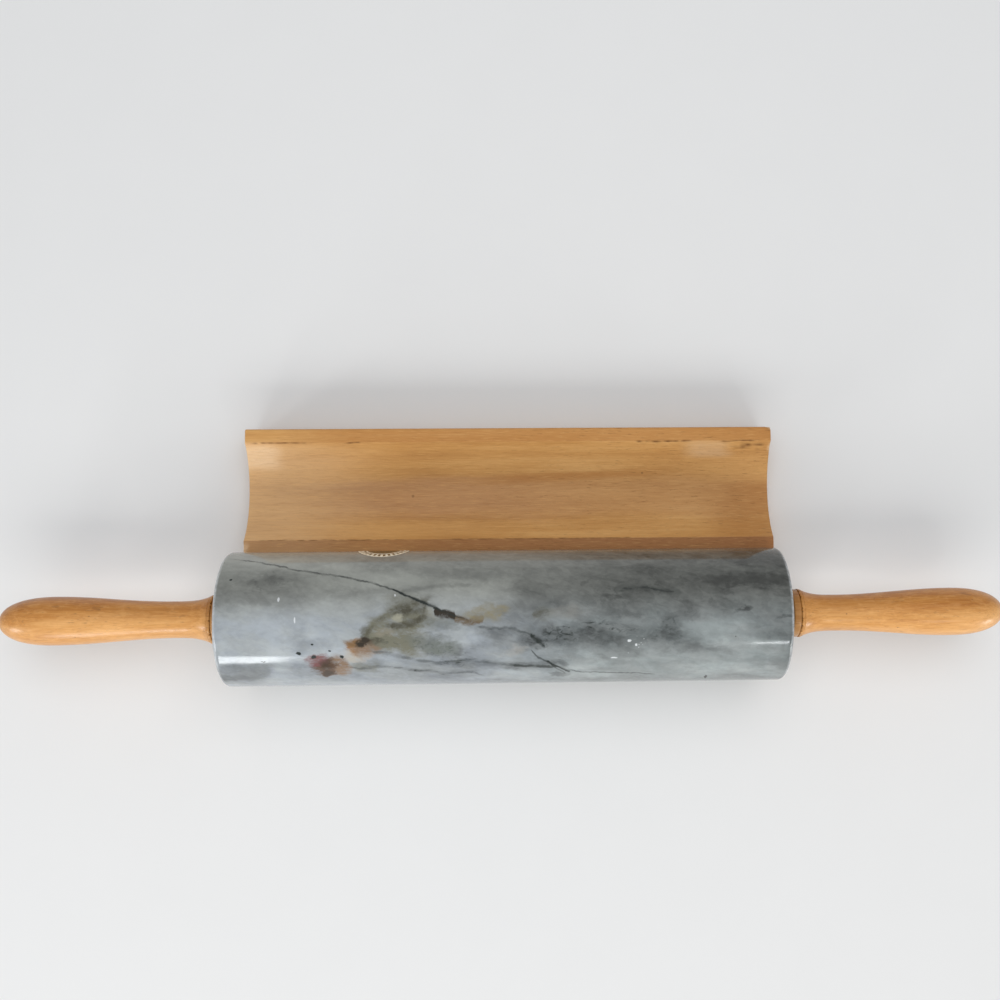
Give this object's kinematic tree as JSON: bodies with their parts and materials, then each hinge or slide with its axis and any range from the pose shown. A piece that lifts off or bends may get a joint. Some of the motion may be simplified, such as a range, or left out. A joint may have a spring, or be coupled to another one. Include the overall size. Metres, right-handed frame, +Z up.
{
  "type": "rolling pin",
  "caption": "Marble rolling pin with turned wooden handles on a steel axle, lying in front of its wooden cradle.",
  "frame": {"origin": "middle of the cradle's underside, on the surface that it stands on", "axes": "+X along the pin and the cradle, +Y from the pin to the cradle, +Z up"},
  "size_m": [0.4624, 0.1198, 0.0612],
  "materials": {
    "marble": "polished grey marble with dark veins and a few rust stains",
    "bushing": "natural nylon",
    "steel": "drawn steel",
    "dark_wood": "dark oiled hardwood",
    "handle_wood": "turned hardwood, thinly varnished",
    "brass": "turned brass",
    "foil": "thin plain gold foil",
    "cradle_wood": "planed hardwood, dry"
  },
  "bodies": {
    "cradle": {"cradle": "cradle_wood"},
    "pin_frame": {"axle_rod": "steel", "washer_left": "steel", "washer_right": "steel", "collar_left": "dark_wood", "collar_right": "dark_wood", "handle_left": "handle_wood", "handle_right": "handle_wood", "insert_left": "brass", "insert_right": "brass"},
    "barrel": {"marble_barrel": "marble", "foil_label": "foil", "bushing_left": "bushing", "bushing_right": "bushing"}
  },
  "joints": [
    {"name": "pin_lift", "type": "slide", "parent": "cradle", "child": "pin_frame", "axis": [0, 0, 1], "range_m": [0, 0.12]},
    {"name": "barrel_spin", "type": "hinge", "parent": "pin_frame", "child": "barrel", "pos_m": [-0.0011, -0.05942, 0.0306], "axis": [1, 0, 0], "continuous": true}
  ]
}
